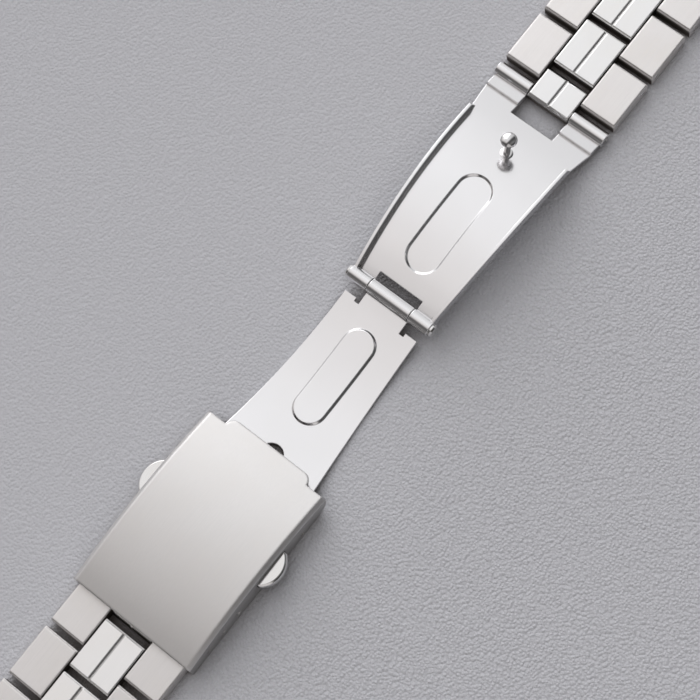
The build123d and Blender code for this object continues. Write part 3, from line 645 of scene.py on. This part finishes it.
def floor_finish(stage):
    """Grey leather grain, coarser toward -Y, with painted shade toward +Y for the light's falloff and painted
    shade deep in the links' gaps and near the bracelet.
    """
    material, recipe = new_material("Grained grey floor")
    where = recipe.add("ShaderNodeTexCoord").outputs["Object"]
    pebbles_per_metre = 1.0 / stage.pebble_size
    warp = recipe.add("ShaderNodeTexNoise")
    warp.inputs["Scale"].default_value = pebbles_per_metre
    recipe.join(where, warp.inputs["Vector"])
    bent = recipe.add("ShaderNodeVectorMath", operation="MULTIPLY_ADD")
    bent.inputs[1].default_value = (stage.pebble_size / 2,) * 3
    recipe.join(warp.outputs["Color"], bent.inputs[0])
    recipe.join(where, bent.inputs[2])
    pebbles = recipe.add("ShaderNodeTexVoronoi", feature="SMOOTH_F1")
    pebbles.inputs["Scale"].default_value = pebbles_per_metre
    pebbles.inputs["Smoothness"].default_value = 0.12
    recipe.join(bent.outputs[0], pebbles.inputs["Vector"])
    fine = recipe.noise(where, 4 * pebbles_per_metre, 3.0, 0.6)
    grain = recipe.math("SUBTRACT", recipe.math("MULTIPLY", fine, 0.4),
                        pebbles.outputs["Distance"])

    color = stage.floor_color
    patches = recipe.remap(recipe.noise(where, 9.0, 2.0, 0.5), 0.3, 0.7)
    tone = recipe.mix(patches, tuple(color), shaded(color, 0.96))
    sides = recipe.add("ShaderNodeSeparateXYZ")
    recipe.join(where, sides.inputs[0])
    finer_and_shaded = recipe.remap(sides.outputs["Y"], *FINER_AND_SHADED_PLACES)
    # Painted shade: the tone darkens toward +Y, standing in for the light falling off
    tone = recipe.mix(finer_and_shaded, tone, shaded(color, 0.84))
    pits = recipe.remap(grain, -0.15, -0.55, to_high=0.7)
    tone = recipe.mix(pits, tone, shaded(color, 0.88))
    # Painted shade: the floor darkens to the contact colour in the links' gaps and near the bracelet, by ambient
    # occlusion
    contact_shade = recipe.remap(recipe.crease(stage.contact_shade_reach), 0.4, 0.84)
    tone = recipe.mix(contact_shade, tone, tuple(stage.contact_shade_color))

    coarser = recipe.math("SUBTRACT", 1.3, recipe.math("MULTIPLY", finer_and_shaded, 0.85))
    normal = recipe.bump(recipe.math("MULTIPLY", grain, coarser), stage.pebble_depth, 0.9)
    shader = recipe.add("ShaderNodeBsdfPrincipled")
    shader.inputs["Roughness"].default_value = stage.floor_roughness
    shader.inputs["Specular IOR Level"].default_value = 0.3
    recipe.join(tone, shader.inputs["Base Color"])
    recipe.join(normal, shader.inputs["Normal"])
    output = recipe.add("ShaderNodeOutputMaterial")
    recipe.join(shader.outputs[0], output.inputs[0])
    return material


def sky_patch(recipe, way, edges, level):
    """Light of a given level beyond two soft edges, one on X and one on Y."""
    x_edge, y_edge = edges
    return recipe.math("MULTIPLY", recipe.remap(way["X"], *x_edge),
                       recipe.remap(way["Y"], *y_edge, to_high=level))


# ---------------------------------------------------------------- operators


class BRACELET_OT_outer_links(bpy.types.Operator):
    """Brush the outer links and end links, and set the pin ends in their sides"""
    bl_idname = "bracelet.outer_links"
    bl_label = "Outer links"

    def execute(self, context):
        looks = context.scene.bracelet_steel
        small = context.scene.bracelet_small_parts
        made = finishes(context.scene)
        wanted = [n for n in nodes if n.endswith("outer_links") or n.endswith("end_link")]
        if not wanted:
            raise RuntimeError("the frame has no outer links")
        hinges = {j["child"]: Vector(j["pos_m"]) for j in frame["joints"] if j["type"] == "hinge"}
        radius, stand = small.pin_end_radius, small.pin_end_stand
        dome = [(radius, -PIN_END_SINK)]
        dome += [(radius * wide, stand * high) for wide, high in PIN_END_SHARES]
        for name in sorted(wanted):
            set_finish(name, made["Satin outer link"], looks.edge_width)
            body = body_of_node(name)
            low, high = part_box(name)
            places = [hinges[body]]
            if name.endswith("outer_links"):
                second = hinges[body].copy()
                second.x = low.x + high.x - second.x
                places.append(second)
            data = bmesh.new()
            for point in places:
                for side, edge in ((-1, low.y), (1, high.y)):
                    lathe(data, (point.x, edge, point.z), (0, side, 0), dome)
            mesh_piece(name.replace("outer_links", "pin_ends").replace("end_link", "end_pin_ends"),
                       data, made["Turned pin"], body)
        return {"FINISHED"}


class BRACELET_OT_centre_links(bpy.types.Operator):
    """Polish the centre links and the half links that join them to the clasp"""
    bl_idname = "bracelet.centre_links"
    bl_label = "Centre links"

    def execute(self, context):
        looks = context.scene.bracelet_steel
        made = finishes(context.scene)
        wanted = [n for n in nodes if n.endswith("centre_links") or n.endswith("half_links")]
        if not wanted:
            raise RuntimeError("the frame has no centre links")
        for name in sorted(wanted):
            set_finish(name, made["Polished centre link"], looks.centre_edge_width)
        return {"FINISHED"}


class BRACELET_OT_cover(bpy.types.Operator):
    """Brush the clasp's cover and polish its hinge pin"""
    bl_idname = "bracelet.cover"
    bl_label = "Clasp cover"

    def execute(self, context):
        made = finishes(context.scene)
        set_finish("clasp_cover", made["Satin clasp cover"])
        set_finish("cover_hinge_pin", made["Turned pin"])
        return {"FINISHED"}


class BRACELET_OT_buttons(bpy.types.Operator):
    """Polish the push buttons, and wind their springs in the latch cage"""
    bl_idname = "bracelet.buttons"
    bl_label = "Push buttons and latch cage"

    def execute(self, context):
        looks = context.scene.bracelet_steel
        small = context.scene.bracelet_small_parts
        made = finishes(context.scene)
        for side in ("left", "right"):
            set_finish(f"push_button_{side}", made["Polished button"], looks.edge_width)
            name = f"button_spring_{side}"
            low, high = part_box(name)
            middle = (low + high) / 2
            fixed_y, moving_y = (low.y, high.y) if middle.y > 0 else (high.y, low.y)
            data = bmesh.new()
            coil(data, (middle.x, fixed_y, middle.z), (middle.x, moving_y, middle.z),
                 (high.z - low.z) / 2, small.spring_wire, small.spring_turns)
            spring = mesh_piece(f"button_coil_{side}", data, made["Spring wire"],
                                "clasp_cover")
            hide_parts(name)
            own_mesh(spring)
        set_finish("latch_cage", made["Stamped cage"], looks.fine_edge_width)
        return {"FINISHED"}


class BRACELET_OT_blades(bpy.types.Operator):
    """Polish the two blades and their pins, and set the turned stud in its place"""
    bl_idname = "bracelet.blades"
    bl_label = "Blades and stud"

    def execute(self, context):
        made = finishes(context.scene)
        for name in ("middle_blade", "base_blade"):
            set_finish(name, made["Mirror blade"])
        for name in ("blade_hinge_pin", "base_link_pin"):
            set_finish(name, made["Turned pin"])
        self.stud(context, made["Turned stud"])
        return {"FINISHED"}

    def stud(self, context, material):
        """A turned stud in the CAD stud's place: ball head, slim neck and two collars."""
        mesh = nodes["latch_stud"].data
        top = max((v.co for v in mesh.vertices), key=lambda corner: corner.z).copy()
        weight = sum(face.area for face in mesh.polygons)
        middle = sum((face.center * face.area for face in mesh.polygons), Vector()) / weight
        axis = (middle - top).normalized()
        length = max((v.co - top).dot(axis) for v in mesh.vertices)
        small = context.scene.bracelet_small_parts
        head, neck = small.stud_head_radius, small.stud_neck_radius
        collar, step = small.stud_collar_radius, small.stud_collar_height
        profile = []
        for n in range(STUD_HEAD_POINTS):
            turn = STUD_HEAD_STEP * n
            half = small.stud_head_rise if turn < math.pi / 2 else small.stud_head_drop
            profile.append((head * math.sin(turn), small.stud_head_rise - half * math.cos(turn)))
        profile.append((neck, profile[-1][1] + STUD_NECK_RUN))
        for n, share in enumerate(STUD_COLLAR_SHARES):
            low = length - step * (len(STUD_COLLAR_SHARES) - n)
            waist = neck * STUD_WAIST_SHARE
            profile += [(waist, low), (waist, low + step * STUD_WAIST_END_SHARE)]
            profile += [(collar * share * wide, low + step * up) for wide, up in STUD_RING_SHARES]
        profile += [(neck, length - step * STUD_FOOT_SHARE), (0, length)]
        data = bmesh.new()
        lathe(data, top, axis, profile, steps=48)
        stud = mesh_piece("turned_stud", data, material, body_of_node("latch_stud"),
                          smooth_angle=35.0)
        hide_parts("latch_stud")


class BRACELET_OT_spring_bar(bpy.types.Operator):
    """Finish the cover's spring bar and wind the spring inside its tube"""
    bl_idname = "bracelet.spring_bar"
    bl_label = "Spring bar"

    def execute(self, context):
        small = context.scene.bracelet_small_parts
        made = finishes(context.scene)
        for name in ("spring_bar_tube", "spring_bar_tip_left", "spring_bar_tip_right"):
            set_finish(name, made["Turned pin"])
        low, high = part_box("spring_bar_spring")
        middle = (low + high) / 2
        for side, end in (("left", high.y), ("right", low.y)):
            data = bmesh.new()
            coil(data, (middle.x, middle.y, middle.z), (middle.x, end, middle.z),
                 (high.z - low.z) / 2, small.spring_wire, small.bar_spring_turns,
                 around=6, per_turn=14)
            spring = mesh_piece(f"spring_bar_coil_{side}", data, made["Spring wire"],
                                "clasp_cover")
            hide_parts("spring_bar_spring")
            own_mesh(spring)
        return {"FINISHED"}


class BRACELET_OT_stage(bpy.types.Operator):
    """Lay the fine-grained floor, light the studio and set the camera"""
    bl_idname = "bracelet.stage"
    bl_label = "Stage and camera"

    def execute(self, context):
        scene = context.scene
        stage = scene.bracelet_stage
        self.floor(stage)
        self.sky(scene, stage)
        self.lamp("Key lamp", stage.key_place, stage.key_size, stage.key_power, True)
        self.lamp("Overhead lamp", stage.overhead_place, stage.overhead_size,
                  stage.overhead_power, False)
        lens = bpy.data.cameras.new("Camera")
        lens.lens = stage.camera_lens
        lens.sensor_width = 36
        lens.clip_start = 0.01
        lens.clip_end = 20
        camera = bpy.data.objects.new("Camera", lens)
        camera.location = stage.camera_place
        camera.rotation_euler = stage.camera_turn
        scene.collection.objects.link(camera)
        scene.camera = camera
        scene.view_settings.view_transform = "Standard"
        return {"FINISHED"}

    def floor(self, stage):
        data = bmesh.new()
        bmesh.ops.create_grid(data, x_segments=2, y_segments=2, size=stage.floor_size / 2)
        mesh = bpy.data.meshes.new("Floor")
        data.to_mesh(mesh)
        data.free()
        mesh.materials.append(floor_finish(stage))
        floor = bpy.data.objects.new("Floor", mesh)
        bpy.context.scene.collection.objects.link(floor)

    def sky(self, scene, stage):
        """A studio with a bright and a dark side for the steel, and a plain backdrop."""
        world = bpy.data.worlds.new("Studio")
        scene.world = world
        world.use_nodes = True
        recipe = Recipe(world.node_tree)
        separate = recipe.add("ShaderNodeSeparateXYZ")
        recipe.join(recipe.add("ShaderNodeTexCoord").outputs["Generated"], separate.inputs[0])
        way = separate.outputs
        sides = recipe.math("MULTIPLY", recipe.ramp(way["X"], SKY_ALONG_X),
                            recipe.ramp(way["Y"], SKY_ALONG_Y))
        patches = recipe.math(
            "ADD", sky_patch(recipe, way, WINDOW_EDGES, stage.window_level),
            sky_patch(recipe, way, PANEL_EDGES, stage.panel_level))
        level = recipe.math("ADD", patches, recipe.remap(
            sides, 0.0, 1.0, stage.shade_level, stage.sky_level, smooth=False))
        warmth = recipe.remap(way["X"], *WARM_EDGES)
        light = recipe.add("ShaderNodeBackground")
        recipe.join(recipe.mix(warmth, tuple(stage.cool_color), tuple(stage.warm_color)),
                    light.inputs["Color"])
        recipe.join(level, light.inputs["Strength"])
        backdrop = recipe.add("ShaderNodeBackground")
        recipe.feed(backdrop.inputs["Color"], stage.backdrop_color)
        backdrop.inputs["Strength"].default_value = 1.0
        seen = recipe.add("ShaderNodeLightPath")
        mixed = recipe.add("ShaderNodeMixShader")
        recipe.join(seen.outputs["Is Camera Ray"], mixed.inputs[0])
        recipe.join(light.outputs[0], mixed.inputs[1])
        recipe.join(backdrop.outputs[0], mixed.inputs[2])
        output = recipe.add("ShaderNodeOutputWorld")
        recipe.join(mixed.outputs[0], output.inputs[0])

    def lamp(self, name, place, size, power, shines):
        """A rectangular lamp that faces the middle of the bracelet."""
        lamp = bpy.data.lights.new(name, "AREA")
        lamp.shape = "RECTANGLE"
        lamp.size, lamp.size_y = size
        lamp.energy = power
        obj = bpy.data.objects.new(name, lamp)
        obj.location = place
        obj.rotation_euler = (-obj.location).to_track_quat("-Z", "Y").to_euler()
        obj.visible_glossy = shines
        bpy.context.scene.collection.objects.link(obj)


class BRACELET_PT_panel(bpy.types.Panel):
    """Lists the bracelet's settings and pieces"""
    bl_idname = "BRACELET_PT_panel"
    bl_label = "Link watch bracelet"
    bl_space_type = "VIEW_3D"
    bl_region_type = "UI"
    bl_category = "Bracelet"

    def draw(self, context):
        layout = self.layout
        for title, group in (("Steel", "bracelet_steel"), ("Small parts", "bracelet_small_parts"),
                             ("Stage", "bracelet_stage")):
            box = layout.box()
            box.label(text=title)
            settings = getattr(context.scene, group)
            for key in settings.bl_rna.properties.keys():
                if key not in ("rna_type", "name"):
                    box.prop(settings, key)
        for operator in OPERATORS:
            layout.operator(operator.bl_idname)


SETTINGS = {
    "bracelet_steel": SteelSettings,
    "bracelet_small_parts": SmallPartSettings,
    "bracelet_stage": StageSettings,
}
OPERATORS = (
    BRACELET_OT_outer_links,
    BRACELET_OT_centre_links,
    BRACELET_OT_cover,
    BRACELET_OT_buttons,
    BRACELET_OT_blades,
    BRACELET_OT_spring_bar,
    BRACELET_OT_stage,
)


def register():
    for name, group in SETTINGS.items():
        bpy.utils.register_class(group)
        setattr(bpy.types.Scene, name, bpy.props.PointerProperty(type=group))
    for operator in OPERATORS:
        bpy.utils.register_class(operator)
    bpy.utils.register_class(BRACELET_PT_panel)


def unregister():
    bpy.utils.unregister_class(BRACELET_PT_panel)
    for operator in reversed(OPERATORS):
        bpy.utils.unregister_class(operator)
    for name, group in reversed(SETTINGS.items()):
        delattr(bpy.types.Scene, name)
        bpy.utils.unregister_class(group)


def main():
    register()
    bpy.ops.bracelet.outer_links()
    bpy.ops.bracelet.centre_links()
    bpy.ops.bracelet.cover()
    bpy.ops.bracelet.buttons()
    bpy.ops.bracelet.blades()
    bpy.ops.bracelet.spring_bar()
    bpy.ops.bracelet.stage()
    bpy.context.view_layer.update()


if __name__ == "__main__":
    main()
